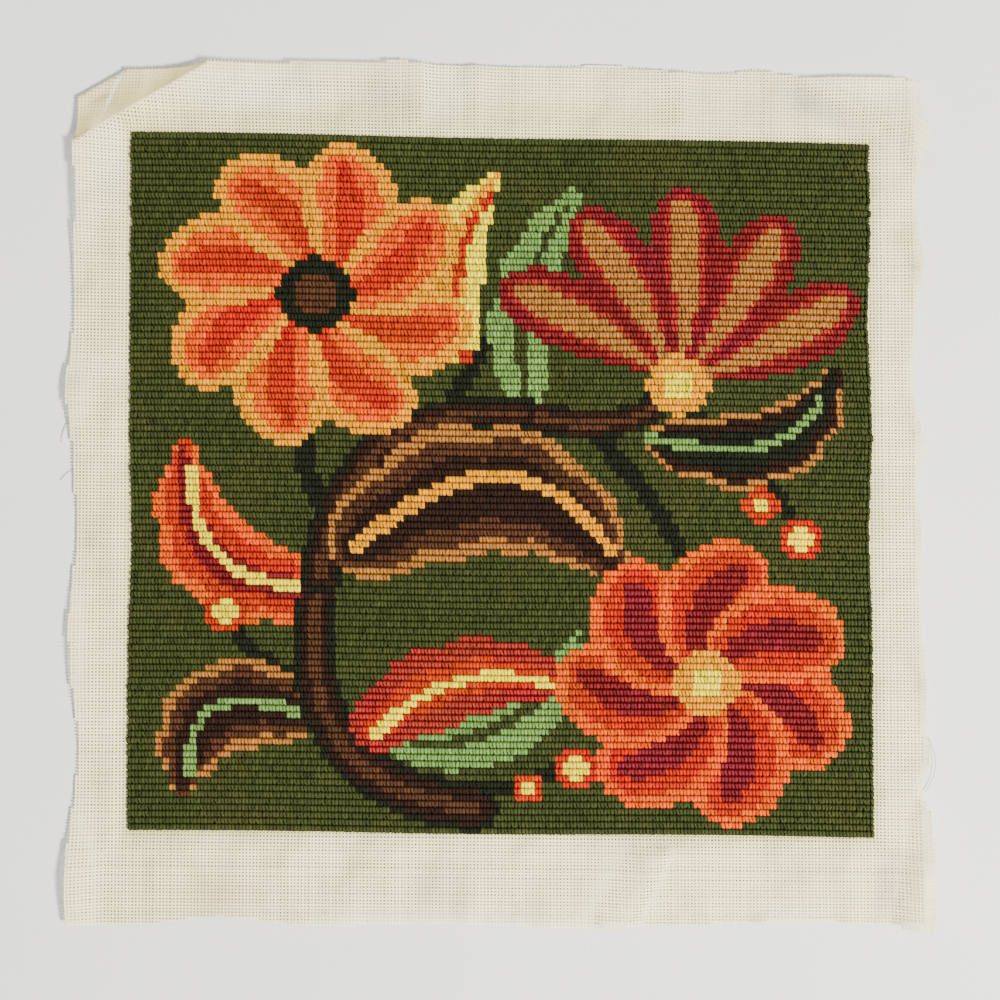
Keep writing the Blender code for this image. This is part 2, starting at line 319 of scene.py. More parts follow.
def shaped(points):
    """The places in space of points of the sheet, on its face side."""
    way = (RIDGE_LEFT - RIDGE_TOP) / np.linalg.norm(RIDGE_LEFT - RIDGE_TOP)
    out = np.array((way[1], -way[0]))
    past = (points - RIDGE_TOP) @ out
    along = np.clip((points - RIDGE_TOP) @ way / np.linalg.norm(RIDGE_LEFT - RIDGE_TOP), 0, 1)
    ridge = RIDGE_RISE_TOP + (RIDGE_RISE_LEFT - RIDGE_RISE_TOP) * along
    free = outside(points)
    share = np.where(free > 0, free / np.maximum(free - past, 1e-9), 0.0)
    face = CANVAS_THICK + ridge * np.clip(share, 0, 1) ** RIDGE_SHARE_POWER + margin_rise(points)

    half_turn = math.pi * TUCK_RADIUS
    fold_out = FLAP_LENGTH - FLAP_SHORTENED
    left = np.clip(1 - past / FLAP_LENGTH, 0, 1)
    turn = np.clip((past - FLAP_LENGTH) / TUCK_RADIUS, 0, math.pi)
    bent = (past > 0) & (past < FLAP_LENGTH)
    tucked = past >= FLAP_LENGTH + half_turn
    plan = np.where(bent, past - FLAP_SHORTENED * (1 - left**3), past)
    plan = np.where(past >= FLAP_LENGTH, fold_out + TUCK_RADIUS * np.sin(turn), plan)
    plan = np.where(tucked, fold_out - (past - FLAP_LENGTH - half_turn), plan)
    drop = left**FLAP_DROP_POWER
    height = MARGIN_LIFT + 2 * TUCK_RADIUS * (np.cos(turn) + 1) / 2
    height += (CANVAS_THICK + ridge - 2 * TUCK_RADIUS) * drop
    z = np.where(past > 0, height, face)
    moved = points + out * np.where(past > 0, plan - past, 0.0)[..., None]
    return np.concatenate((moved + TO_MIDDLE, z[..., None]), axis=-1)


# The chart of the picture, a generic one of flowers, leaves and berries on a curving stem. A
# square of it is two stitches wide and one row high, and its places and sizes are in squares.
CHART_ACROSS = 108
# Bands of wool from the middle of a form outwards, each up to a share of its half width
BANDS = {
    "trunk": ((0.30, "chestnut"), (0.72, "bark"), (1.0, "ink_green")),
    "vine": ((1.0, "ink_green"),),
    "dusk": ((0.50, "bark"), (0.78, "chestnut"), (1.0, "tan")),
    "shade": ((0.5, "ink_green"), (0.8, "bark"), (1.0, "tan")),
    "fire": ((0.32, "brick"), (0.70, "ember"), (1.0, "orange")),
    "blaze": ((0.30, "ember"), (0.66, "orange"), (1.0, "gold")),
    "wine": ((0.42, "tan"), (0.60, "russet"), (1.0, "brick")),
    "rust": ((0.45, "ember"), (1.0, "russet")),
    "sun": ((0.36, "gold"), (1.0, "lemon")),
    "sprig": ((0.16, "moss"), (1.0, "leaf")),
    "seed": ((0.5, "lemon"), (1.0, "gold")),
    "gold_rib": ((1.0, "gold"),),
    "lemon_rib": ((1.0, "lemon"),),
    "leaf_rib": ((1.0, "leaf"),),
    "ember_rib": ((1.0, "ember"),),
    "hip": ((0.5, "lemon"), (1.0, "ember")),
    "coal": ((0.55, "chestnut"), (1.0, "ink_green")),
}

# A stem or a leaf runs along a bend from its root past a middle point to its tip
Motif = namedtuple("Motif", "form x0 y0 x1 y1 x2 y2 width bands")
MOTIFS = (
    Motif("stem", 31, 60, 22, 50, 28, 40, 1.6, "vine"),
    Motif("stem", 44, 45, 50, 34, 55, 26, 1.3, "vine"),
    Motif("stem", 66, 43, 76, 52, 82, 66, 1.5, "vine"),
    Motif("stem", 42, 97, 56, 101, 65, 93, 1.4, "vine"),
    Motif("stem", 30, 84, 20, 82, 15, 74, 1.4, "vine"),
    Motif("stem", 82, 42, 92, 48, 97, 58, 1.3, "vine"),
    Motif("frond", 58, 40, 54, 22, 66, 7, 4.6, "sprig"),
    Motif("leaf", 38, 92, 60, 92, 66, 74, 5.2, "sprig"),
    Motif("frond", 28, 68, 6, 70, 8, 46, 6.8, "fire"),
    Motif("frond", 27, 88, 8, 80, 8, 100, 6.6, "dusk"),
    Motif("stem", 27, 88, 8, 80, 9, 97, 0.9, "leaf_rib"),
    Motif("stem", 28, 68, 8, 69, 9, 50, 0.9, "lemon_rib"),
    Motif("frond", 76, 45, 98, 52, 103, 34, 5.6, "shade"),
    Motif("stem", 76, 45, 97, 50, 101, 38, 0.8, "leaf_rib"),
    Motif("leaf", 49, 34, 43, 18, 54, 5, 4.6, "sun"),
    Motif("stem", 49, 33, 45, 18, 53, 8, 0.8, "ember_rib"),
    Motif("stem", 50, 101, 22, 98, 28, 66, 3.8, "trunk"),
    Motif("stem", 28, 66, 32, 38, 60, 42, 3.2, "trunk"),
    Motif("stem", 60, 42, 76, 46, 81, 34, 2.4, "trunk"),
    Motif("frond", 31, 64, 56, 40, 72, 67, 9.5, "dusk"),
    Motif("stem", 33, 62, 56, 40, 70, 62, 1.2, "gold_rib"),
    Motif("frond", 34, 91, 48, 76, 65, 83, 6.0, "rust"),
    Motif("stem", 36, 90, 48, 77, 63, 83, 0.9, "lemon_rib"),
)
Bloom = namedtuple("Bloom", "x y radius petals turn spread swirl bands heart heart_bands")
BLOOMS = (
    Bloom(27, 24, 19, 8, 0.2, 6.28, 0.6, "blaze", 0.30, "coal"),
    Bloom(80, 37, 27, 5, -2.6, 2.1, 0.12, "wine", 0.17, "seed"),
    Bloom(84, 82, 17.5, 7, 0.5, 6.28, -0.7, "fire", 0.28, "seed"),
)
Berry = namedtuple("Berry", "x y radius bands")
BERRIES = (
    Berry(98, 60, 3.4, "hip"),
    Berry(92, 55, 2.6, "hip"),
    Berry(14, 72, 3.2, "hip"),
    Berry(65, 95, 3.2, "hip"),
    Berry(58, 98, 2.4, "hip"),
)
# The half width of a form along its bend, from 0 at its root to 1 at its tip
PROFILES = {
    "stem": lambda t: 1.0 - 0.25 * t,
    "leaf": lambda t: math.sin(math.pi * t**0.8) ** 0.75,
    "frond": lambda t: math.sin(math.pi * t**0.75) ** 0.6 * (0.78 + 0.3 * abs(math.sin(14.1 * t))),
    "petal": lambda t: math.sin(math.pi * min(1.0, t * 0.93 + 0.02)) ** 0.5 * t**0.75 * 1.4,
}
STROKE_STEPS = 120


def paint(chart, share, bands):
    """Lays bands of wool where the share of the half width is under one."""
    left = share <= 1.0
    for limit, wool in bands:
        here = left & (share <= limit)
        chart[here] = wool
        left &= ~here


def stroke(chart, squares, row):
    """Paints a stem, leaf or petal on the chart, along its bend."""
    share = np.full(chart.shape, np.inf)
    for k in range(STROKE_STEPS + 1):
        t = k / STROKE_STEPS
        parts = ((1 - t) ** 2, 2 * t * (1 - t), t * t)
        x = parts[0] * row.x0 + parts[1] * row.x1 + parts[2] * row.x2
        y = parts[0] * row.y0 + parts[1] * row.y1 + parts[2] * row.y2
        half = max(0.3, row.width * PROFILES[row.form](t))
        share = np.minimum(share, np.hypot(squares[0] - x, squares[1] - y) / half)
    paint(chart, share, BANDS[row.bands])


def petals_of(row):
    """The petals of a bloom, round it or over a fan's spread, each bent by its swirl."""
    whole = row.spread > 6
    for k in range(row.petals):
        part = k / row.petals if whole else k / (row.petals - 1)
        angle = row.turn + row.spread * part
        tip = (row.x + row.radius * math.cos(angle), row.y + row.radius * math.sin(angle))
        bend = angle + row.swirl
        middle = (
            row.x + 0.6 * row.radius * math.cos(bend),
            row.y + 0.6 * row.radius * math.sin(bend),
        )
        width = row.radius * 0.475 * row.spread / row.petals
        yield Motif("petal", row.x, row.y, *middle, *tip, width, row.bands)


def make_chart():
    """The wool of each square of the chart, by row from the top."""
    chart = np.full((ROW_COUNT, CHART_ACROSS), "moss", dtype=object)
    down, across = np.mgrid[0:ROW_COUNT, 0:CHART_ACROSS]
    squares = (across + 0.5, down + 0.5)
    for row in MOTIFS:
        stroke(chart, squares, row)
    for row in BLOOMS:
        for petal in petals_of(row):
            stroke(chart, squares, petal)
        share = np.hypot(squares[0] - row.x, squares[1] - row.y) / (row.radius * row.heart)
        paint(chart, share, BANDS[row.heart_bands])
    for row in BERRIES:
        share = np.hypot(squares[0] - row.x, squares[1] - row.y) / row.radius
        paint(chart, share, BANDS[row.bands])
    return chart


def tube_faces(rings, sides, start=0):
    """The faces of one tube, closed at both ends, whose points go round its rings in turn."""
    faces = []
    for ring in range(rings - 1):
        for k in range(sides):
            low = start + ring * sides
            high = low + sides
            after = (k + 1) % sides
            faces.append((low + k, low + after, high + after, high + k))
    last = start + (rings - 1) * sides
    faces.append(tuple(start + k for k in reversed(range(sides))))
    faces.append(tuple(last + k for k in range(sides)))
    return faces


def new_piece(name, points, faces, material, node, values):
    """A mesh piece in place of a node, with numbers on its points, and the rest that it needs."""
    mesh = bpy.data.meshes.new(name)
    mesh.from_pydata(points.reshape(-1, 3), [], faces)
    mesh.materials.append(material)
    mesh.shade_smooth()
    corners = np.zeros(len(mesh.loops), np.int32)
    mesh.loops.foreach_get("vertex_index", corners)
    for value_name, value in values.items():
        if value.ndim > 1:
            layer = mesh.uv_layers.new(name=value_name)
            layer.data.foreach_set("uv", value[corners].astype(np.float32).ravel())
        else:
            layer = mesh.attributes.new(value_name, "FLOAT", "POINT")
            layer.data.foreach_set("value", value.astype(np.float32))
    piece = bpy.data.objects.new(name, mesh)
    bpy.context.scene.collection.objects.link(piece)
    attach(piece, "root")
    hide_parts(node)
    return piece


def linear(hex_colour):
    """A linear colour from an sRGB hex value."""
    parts = [int(hex_colour[k : k + 2], 16) / 255 for k in (1, 3, 5)]
    return tuple(p / 12.92 if p <= 0.04045 else ((p + 0.055) / 1.055) ** 2.4 for p in parts) + (1,)


def add_node(material, kind, settings=None, **links):
    """Adds a node with its settings, and its values and links by socket name or as _number."""
    tree = material.node_tree
    node = tree.nodes.new(kind)
    for name, value in (settings or {}).items():
        setattr(node, name, value)
    for name, value in links.items():
        place = int(name[1:]) if name[1:].isdigit() else name.replace("_", " ")
        socket = node.inputs[place]
        if isinstance(value, bpy.types.NodeSocket):
            tree.links.new(value, socket)
        else:
            socket.default_value = value
    return node


def new_material(name, roughness, gloss):
    """A matt material and its shader."""
    material = bpy.data.materials.new(name)
    material.use_nodes = True
    shader = material.node_tree.nodes["Principled BSDF"]
    shader.inputs["Roughness"].default_value = roughness
    shader.inputs["Specular IOR Level"].default_value = gloss
    return material, shader


def point_value(material, name):
    """A number that the mesh's points carry."""
    return add_node(material, "ShaderNodeAttribute", {"attribute_name": name}).outputs["Fac"]


# Tapestry wool, spun in two plies and dyed in the hank: each stitch takes the dye a little
# differently, the twist's light and shade along it are painted on, and painted shade darkens it down in
# the holes
WOOLS = {
    "moss": "#353a1d",
    "ink_green": "#181a10",
    "bark": "#261710",
    "chestnut": "#452c1e",
    "tan": "#98673c",
    "brick": "#6b2224",
    "russet": "#8b302c",
    "ember": "#ae2c10",
    "orange": "#d45000",
    "gold": "#da8e00",
    "lemon": "#eed600",
    "leaf": "#69864e",
}
PLY_TWIST = 1.3 * MM
# The spacing of the bands of a diagonal wave texture at a scale of 1
PLY_WAVE = 0.628
FUZZ_GRAIN = 0.35 * MM
DYE_DRIFT = 55 * MM
WOOL_RELIEF = 0.12 * MM

# The dye's least brightness and what a stitch's tone adds to it, how far each of the patterns
# lightens and darkens it, the twist's as painted light and shade, and how far the painted shade
# darkens and enriches it
DYE_LEAST = 0.62
DYE_TONE = 0.75
DRIFT_SHARE = 0.35
FUZZ_SHARE = 0.5
TWIST_LIGHT_AND_SHADE = 0.3
HUE_SHARE = 0.03
SHADE_DARKENS = 0.42
SHADE_ENRICHES = 0.35


def dyed_wool(name, colour):
    material, shader = new_material("dyed_wool_" + name, 0.85, 0.12)
    place = add_node(material, "ShaderNodeTexCoord").outputs["Object"]
    along_yarn = add_node(material, "ShaderNodeUVMap", {"uv_map": "yarn"}).outputs["UV"]
    drift = add_node(material, "ShaderNodeTexNoise", Vector=place, Scale=1 / DYE_DRIFT, Detail=3.0)
    fuzz = add_node(material, "ShaderNodeTexNoise", Vector=place, Scale=1 / FUZZ_GRAIN, Detail=2.0)
    twist = add_node(
        material, "ShaderNodeTexWave", {"bands_direction": "DIAGONAL"},
        Vector=along_yarn, Scale=PLY_WAVE / (PLY_TWIST / MM), Distortion=0.8, Detail=1.0,
    )
    value = add_node(
        material, "ShaderNodeMath", {"operation": "MULTIPLY_ADD"},
        _0=point_value(material, "tone"), _1=DYE_TONE, _2=DYE_LEAST,
    )
    # The drift and the fuzz vary the dye and the wool at random; the twist's bands are painted light and
    # shade along the plies
    for pattern, share in ((drift, DRIFT_SHARE), (fuzz, FUZZ_SHARE), (twist, TWIST_LIGHT_AND_SHADE)):
        swung = add_node(
            material, "ShaderNodeMath", {"operation": "MULTIPLY_ADD"},
            _0=pattern.outputs["Fac"], _1=share, _2=-share / 2,
        )
        value = add_node(material, "ShaderNodeMath", _0=value.outputs[0], _1=swung.outputs[0])
    # Painted shade: a point's share of it darkens the dye and makes it richer
    shade = point_value(material, "depth")
    kept = add_node(
        material, "ShaderNodeMath", {"operation": "MULTIPLY_ADD"}, _0=shade, _1=-SHADE_DARKENS, _2=1.0,
    )
    richer = add_node(
        material, "ShaderNodeMath", {"operation": "MULTIPLY_ADD"}, _0=shade, _1=SHADE_ENRICHES, _2=1.0,
    )
    shaded = add_node(
        material, "ShaderNodeMath", {"operation": "MULTIPLY"}, _0=value.outputs[0], _1=kept.outputs[0],
    )
    hue = add_node(
        material, "ShaderNodeMath", {"operation": "MULTIPLY_ADD"},
        _0=drift.outputs["Fac"], _1=-HUE_SHARE, _2=0.5 + HUE_SHARE / 2,
    )
    dyed = add_node(
        material, "ShaderNodeHueSaturation", Hue=hue.outputs[0],
        Saturation=richer.outputs[0], Value=shaded.outputs[0], Color=linear(colour),
    )
    material.node_tree.links.new(dyed.outputs["Color"], shader.inputs["Base Color"])
    relief = add_node(material, "ShaderNodeMath", _0=twist.outputs["Fac"], _1=fuzz.outputs["Fac"])
    bumped = add_node(
        material, "ShaderNodeBump", Height=relief.outputs[0], Strength=0.55, Distance=WOOL_RELIEF,
    )
    material.node_tree.links.new(bumped.outputs["Normal"], shader.inputs["Normal"])
    return material


# Cotton canvas, woven of single threads and sized stiff: matt and cream, each thread a little
# lighter or darker and darkened by painted shade at its rims, crumpled very softly, with faint
# brownish and yellowish patches, painted shades and highlights beside its creases and bends, a
# painted highlight along the bottom edge, and a painted highlight and a dark spot on the turned corner
COTTON_GRAIN = 0.3 * MM
COTTON_DRIFT = 40 * MM
CRUMPLE = 30 * MM
CRUMPLE_RISE = 9 * MM
COTTON_RELIEF = 0.12 * MM
# The painted shade of the turned corner's flap, and the tint beside the needlework
TINT_AND_TURNED_SHADE = {"turned": "#d3be7c", "beside": "#c8c67e"}

# The cotton's least brightness, what a thread's tone and the grain add to it, and how much painted
# shade darkens a thread's rims and how far they are dropped
COTTON_LEAST = 0.98
COTTON_TONE = 0.22
GRAIN_SHARE = 0.2
RIM_PAINTED_SHADE = 0.5
RIM_DROP = 1.2

# A mark's middle and half sizes are in millimetres, and its angle is in degrees
Mark = namedtuple("Mark", "x y half_x half_y angle colour strength")
MARKS_AND_PAINTED_LIGHT = (
    # A brownish patch in the bottom margin
    Mark(-143, -212, 22, 12, 0, "#cfae94", 0.35),
    # Painted shade along the bend in the bottom right corner
    Mark(205, -204, 20, 8, 78, "#c9b9a4", 0.5),
    # Two more brownish patches in the bottom margin
    Mark(-32, -209, 16, 14, 0, "#d2b49c", 0.35),
    Mark(158, -197, 18, 16, 0, "#d5bfa6", 0.3),
    # A yellowish band along the top of the needlework, and a creamier stretch of the top margin
    Mark(-20, 199, 190, 8, 0, "#d3cb8c", 0.5),
    Mark(150, 208, 60, 16, 0, "#e3dab0", 0.5),
    # Painted highlights on the slope inside the turned corner's ridge, which faces the light
    Mark(-128, 213, 34, 9, 0, "#fffbdc", 0.7),
    Mark(-207, 178, 9, 22, 0, "#fffbdc", 0.45),
    # A painted highlight along the bottom edge, where it bends down
    Mark(-40, -229, 95, 6, 0, "#fffbdc", 0.7),
    # Painted shade and a painted highlight on the two sides of the crease in the top margin
    Mark(-62, 212, 16, 15, 0, "#cfc0a2", 0.5),
    Mark(-28, 215, 12, 15, 0, "#fff9d2", 0.9),
    # Painted shade along the bend in the top right corner, and a painted highlight beyond it
    Mark(170, 204, 28, 6, -28, "#c6baa2", 0.65),
    Mark(199, 214, 17, 8, 0, "#fff8cc", 0.8),
    # On the turned corner: a painted highlight along its crease, a painted highlight on the facet beside
    # it, and a dark spot
    Mark(-203.4, 215.3, 12, 1.2, 68, "#fffbe0", 1.0),
    Mark(-207.7, 217.4, 9, 3, 33, "#ece6c0", 0.6),
    Mark(-210.3, 209.2, 5, 1.6, 25, "#a89d78", 0.6),
)


def sized_cotton():
    material, shader = new_material("sized_cotton_canvas", 0.88, 0.2)
    place = add_node(material, "ShaderNodeTexCoord").outputs["Object"]
    drift = add_node(material, "ShaderNodeTexNoise", Vector=place, Scale=1 / COTTON_DRIFT, Detail=4.0)
    grain = add_node(material, "ShaderNodeTexNoise", Vector=place, Scale=1 / COTTON_GRAIN, Detail=2.0)
    colour = add_node(
        material, "ShaderNodeMix", {"data_type": "RGBA"},
        _0=drift.outputs["Fac"], _6=linear("#efe4a9"), _7=linear("#fff6c6"),
    ).outputs[2]
    # The tint beside the needlework, and the painted shade of the turned corner
    for name, tint in TINT_AND_TURNED_SHADE.items():
        colour = add_node(
            material, "ShaderNodeMix", {"data_type": "RGBA"},
            _0=point_value(material, name), _6=colour, _7=linear(tint),
        ).outputs[2]
    # The marks: brownish and yellowish patches, and painted shades and highlights
    for mark in MARKS_AND_PAINTED_LIGHT:
        in_mark = add_node(
            material, "ShaderNodeMapping", {"vector_type": "TEXTURE"}, Vector=place,
            Location=(mark.x * MM, mark.y * MM, 0), Rotation=(0, 0, math.radians(mark.angle)),
            Scale=(mark.half_x * MM, mark.half_y * MM, 1),
        )
        away = add_node(material, "ShaderNodeVectorMath", {"operation": "LENGTH"}, _0=in_mark.outputs[0])
        near = add_node(
            material, "ShaderNodeMapRange", {"interpolation_type": "SMOOTHSTEP"},
            Value=away.outputs["Value"], From_Min=0.2, From_Max=1.6, To_Min=mark.strength, To_Max=0.0,
        )
        colour = add_node(
            material, "ShaderNodeMix", {"data_type": "RGBA"},
            _0=near.outputs[0], _6=colour, _7=linear(mark.colour),
        ).outputs[2]
    lit = add_node(
        material, "ShaderNodeMath", {"operation": "MULTIPLY_ADD"},
        _0=point_value(material, "tone"), _1=COTTON_TONE, _2=COTTON_LEAST,
    )
    grained = add_node(
        material, "ShaderNodeMath", {"operation": "MULTIPLY_ADD"},
        _0=grain.outputs["Fac"], _1=GRAIN_SHARE, _2=lit.outputs[0],
    )
    # Painted shade darkens each thread towards its rims, less on the turned corner
    aside = point_value(material, "aside")
    round_off = add_node(material, "ShaderNodeMath", {"operation": "MULTIPLY"}, _0=aside, _1=aside)
    shaded = add_node(
        material, "ShaderNodeMath", {"operation": "MULTIPLY_ADD"},
        _0=round_off.outputs[0], _1=-RIM_PAINTED_SHADE, _2=grained.outputs[0],
    )
    finished = add_node(material, "ShaderNodeHueSaturation", Value=shaded.outputs[0], Color=colour)
    material.node_tree.links.new(finished.outputs["Color"], shader.inputs["Base Color"])
    relief = add_node(
        material, "ShaderNodeMath", {"operation": "MULTIPLY_ADD"},
        _0=round_off.outputs[0], _1=-RIM_DROP, _2=grain.outputs["Fac"],
    )
    crumple = add_node(material, "ShaderNodeTexNoise", Vector=place, Scale=1 / CRUMPLE, Detail=1.5)
    crumpled = add_node(
        material, "ShaderNodeBump", Height=crumple.outputs["Fac"], Strength=1.0, Distance=CRUMPLE_RISE,
    )
    bumped = add_node(
        material, "ShaderNodeBump", Height=relief.outputs[0], Strength=0.6, Distance=COTTON_RELIEF,
        Normal=crumpled.outputs["Normal"],
    )
    material.node_tree.links.new(bumped.outputs["Normal"], shader.inputs["Normal"])
    return material


def stitch_meshes():
    """Each stitch's row, column, points in front and behind, and tone."""
    row, column = np.mgrid[0:ROW_COUNT, 0:STITCHES_ACROSS]
    row, column = row.ravel(), column.ravel()
    count = len(row)
    across = (column + 0.5) / STITCHES_ACROSS
    row_shift = rng.normal(0, ROW_STRAY, ROW_COUNT)[row] + rng.normal(0, STITCH_STRAY, count)
    lean = rng.normal(CROWN_LEAN, CROWN_LEAN_SPREAD, count)
    width = CROWN_WIDTH * (1 + rng.normal(0, CROWN_WIDTH_SPREAD, count))
    rise = rng.normal(0, CROWN_HEIGHT_SPREAD, count)
    tone = np.clip(rng.normal(STITCH_TONE, STITCH_TONE_SPREAD, count), 0, 1)
    end_shift = np.where(column == 0, FIRST_STITCH_OUT, 0)
    end_shift += np.where(column == STITCHES_ACROSS - 1, LAST_STITCH_OUT, 0)
    reach = rng.uniform(*CROWN_REACH, count)
    crown_steps = np.tile(np.array(RING_STEPS), (count, 1))
    crown_steps[:, 0] -= reach
    crown_steps[:, 3] += reach
    sway = ROW_SWAY * np.sin(2 * math.pi * ROW_SWAY_TURNS * across)
    front = np.zeros((count, 4, 4, 3))
    for k in range(4):
        for points, step in (((1, 2), crown_steps[:, k]), ((0, 3), FLANK_STEPS[k])):
            down = (row + step) / ROW_COUNT
            spot = placed(NEEDLEWORK_CUT, NEEDLEWORK_WAVES, NEEDLEWORK_FADE, across, down) + TO_MIDDLE
            front[:, k, points, :2] = spot[:, None, :]
            front[:, k, points, 0] += (row_shift + end_shift)[:, None]
            front[:, k, points, 1] += sway[:, None]
        slant = lean * (2 * crown_steps[:, k] - 1)
        front[:, k, 0, 0] -= FLANK_WIDTH / 2
        front[:, k, 1, 0] += slant - width / 2
        front[:, k, 2, 0] += slant + width / 2
        front[:, k, 3, 0] += FLANK_WIDTH / 2
        front[:, k, (0, 3), 2] = FLANK_HEIGHTS[k]
        front[:, k, (1, 2), 2] = (CROWN_HEIGHTS[k] + rise * (0 < k < 3))[:, None]

    back = np.zeros((count, 4, 3))
    start = placed(NEEDLEWORK_CUT, NEEDLEWORK_WAVES, NEEDLEWORK_FADE, across, (row + 1.0) / ROW_COUNT)
    end = placed(
        NEEDLEWORK_CUT, NEEDLEWORK_WAVES, NEEDLEWORK_FADE,
        across + 1 / STITCHES_ACROSS, row / ROW_COUNT,
    )
    way = (end - start) / np.linalg.norm(end - start, axis=1)[:, None]
    side = np.stack((way[:, 1], -way[:, 0]), axis=1) * FLOAT_WIDTH / 2
    middle = (start + end) / 2
    lows = ((start, FLOAT_LOW), (end, FLOAT_LOW))
    highs = ((middle + side, FLOAT_HIGH), (middle - side, FLOAT_HIGH))
    for k, (spot, z) in enumerate(lows + highs):
        back[:, k, :2] = spot + TO_MIDDLE
        back[:, k, 1] += sway
        back[:, k, 2] = z + rng.uniform(0, FLOAT_SPREAD, count) * (k < 2)
    return row, column, front, back, tone


def make_needlework():
    """The worked field: a piece for each wool, and two for the moss ground, which is large."""
    row, column, front, back, tone = stitch_meshes()
    wool = make_chart()[row, column // 2]
    batches = []
    for name in WOOLS:
        members = np.flatnonzero(wool == name)
        parts = 2 if name == "moss" else 1
        for k, part in enumerate(np.array_split(members, parts)):
            batches.append((name, name if parts == 1 else f"{name}_{k + 1}", part))
    materials = {name: dyed_wool(name, colour) for name, colour in WOOLS.items()}
    front_faces = np.array(tube_faces(4, 4))
    back_faces = np.array(((0, 1, 2), (1, 0, 3), (0, 2, 3), (1, 3, 2)))
    # The painted shade at each ring's points: deep in the valleys, some beside the crown and none on it;
    # behind, some at every point
    ring_painted_shade = np.array((VALLEY,) * 4 + (BESIDE, 0, 0, BESIDE) * 2 + (VALLEY,) * 4)
    behind = np.full(BACK_POINTS, BEHIND)
    along = np.repeat(np.array(RING_STEPS) * STITCH_LENGTH, 4)
    aside = np.tile(np.array(ACROSS_YARN), 4)
    for wool_name, label, members in batches:
        count = len(members)
        front_points = front[members].reshape(count, FRONT_POINTS, 3)
        points = np.concatenate((front_points, back[members]), axis=1)
        first = np.arange(count)[:, None, None] * STITCH_POINTS
        faces = (first + front_faces).reshape(-1, 4).tolist()
        faces += (first + FRONT_POINTS + back_faces).reshape(-1, 3).tolist()
        start = rng.uniform(0, YARN_START_MOST, count)
        yarn = np.zeros((count, STITCH_POINTS, 2))
        yarn[:, :FRONT_POINTS, 0] = aside
        yarn[:, :FRONT_POINTS, 1] = along + start[:, None]
        yarn[:, FRONT_POINTS:, 1] = start[:, None]
        values = {
            "tone": np.repeat(tone[members], STITCH_POINTS),
            "depth": np.tile(np.concatenate((ring_painted_shade, behind)), count),
            "yarn": yarn.reshape(-1, 2),
        }
        material = materials[wool_name]
        new_piece("stitches_" + label, points, faces, material, "needlework", values)


def thread_grid():
    """Where warps and wefts cross: flat places, places in space and normals, by weft and warp."""
    wefts = np.arange(-MARGIN_THREADS, ROW_COUNT * WEFTS_IN_ROW + MARGIN_THREADS + 1)
    warps = np.arange(-MARGIN_THREADS, STITCHES_ACROSS + MARGIN_THREADS + 1)
    weft, warp = np.meshgrid(wefts, warps, indexing="ij")
    across = warp / STITCHES_ACROSS
    down = weft / (ROW_COUNT * WEFTS_IN_ROW)
    flat = between(NEEDLEWORK_CUT, across, down)
    drift = rng.normal(0, THREAD_STRAY, (len(wefts), 1, 1)) * np.array((0, 1))
    drift = drift + rng.normal(0, THREAD_STRAY, (1, len(warps), 1)) * np.array((1, 0))
    flat = flat + drift + rng.normal(0, CROSSING_STRAY, flat.shape)
    face = shaped(flat)
    down_way = np.gradient(face, axis=0)
    across_way = np.gradient(face, axis=1)
    normal = np.cross(down_way, across_way)
    normal /= np.linalg.norm(normal, axis=-1)[..., None]
    return wefts, warps, flat, face, normal


def thread_points(middles, normals, ups, widths):
    """The three-sided rings of one thread, flat side up and frayed thin at its two ends."""
    ways = np.gradient(middles, axis=0)
    ways /= np.linalg.norm(ways, axis=1)[:, None]
    asides = np.cross(ways, normals)
    asides /= np.linalg.norm(asides, axis=1)[:, None]
    widths[[0, -1]] *= FRAYED_WIDTH
    lows = middles + normals * (ups * THREAD_RIPPLE - THREAD_HEIGHT / 2)[:, None]
    tops = middles + normals * (ups * THREAD_RIPPLE + THREAD_HEIGHT / 2)[:, None]
    sides = asides * widths[:, None] / 2
    return np.stack((tops - sides, lows, tops + sides), axis=1)


def keep_rims(mesh):
    """Marks the two long rims of three-sided threads sharp, so that their upper side stays flat."""
    ends = np.zeros(len(mesh.edges) * 2, np.int32)
    mesh.edges.foreach_get("vertices", ends)
    place = ends.reshape(-1, 2) % 3
    rims = (place[:, 0] == place[:, 1]) & (place[:, 0] != 1)
    sharp = mesh.attributes.new("sharp_edge", "BOOLEAN", "EDGE")
    sharp.data.foreach_set("value", rims)


def runs_of(inside):
    """The stretches of a thread that lie inside the cut, as index ranges."""
    marks = np.flatnonzero(np.diff(np.concatenate(([False], inside, [False])).astype(int)))
    return [np.arange(a, b) for a, b in zip(marks[::2], marks[1::2]) if b - a >= SHORTEST_RUN]


def weave_looks(flat):
    """How much each crossing is tinted beside the needlework, takes the turned corner's painted shade,
    and is shut.
    """
    away = outside(flat) + FIELD_CLEARANCE / 2
    beside = TINT_MOST * bump(np.maximum(0.0, away), TINT_REACH)
    past = beyond(RIDGE_TOP, RIDGE_LEFT, flat)
    turned = smooth(past / TURN_BLUR) * (1 - TURN_PALES * np.clip(past / FLAP_LENGTH, 0, 1))
    waves = sum(np.sin(flat @ np.array((a, b)) / SIZED_REACH + start) for a, b, start in SIZED_WAVES)
    near_ridge = RIDGE_SHUT * smooth(1 + past / RIDGE_SHUT_REACH)
    shut = SIZED_SHUT * waves / len(SIZED_WAVES) + TURNED_SHUT * np.maximum(turned, near_ridge)
    return beside, turned, shut


def with_cut_ends(middles, to_cut):
    """A thread's places with one more at each end, about as far out as the cut is."""
    left = np.clip(to_cut + rng.uniform(FRAY_SHORT, FRAY_LONG, 2), SHORTEST_END, PITCH)
    head = middles[0] - middles[1]
    tail = middles[-1] - middles[-2]
    head = middles[0] + head / np.linalg.norm(head) * left[0]
    tail = middles[-1] + tail / np.linalg.norm(tail) * left[1]
    return np.vstack((head, middles, tail))


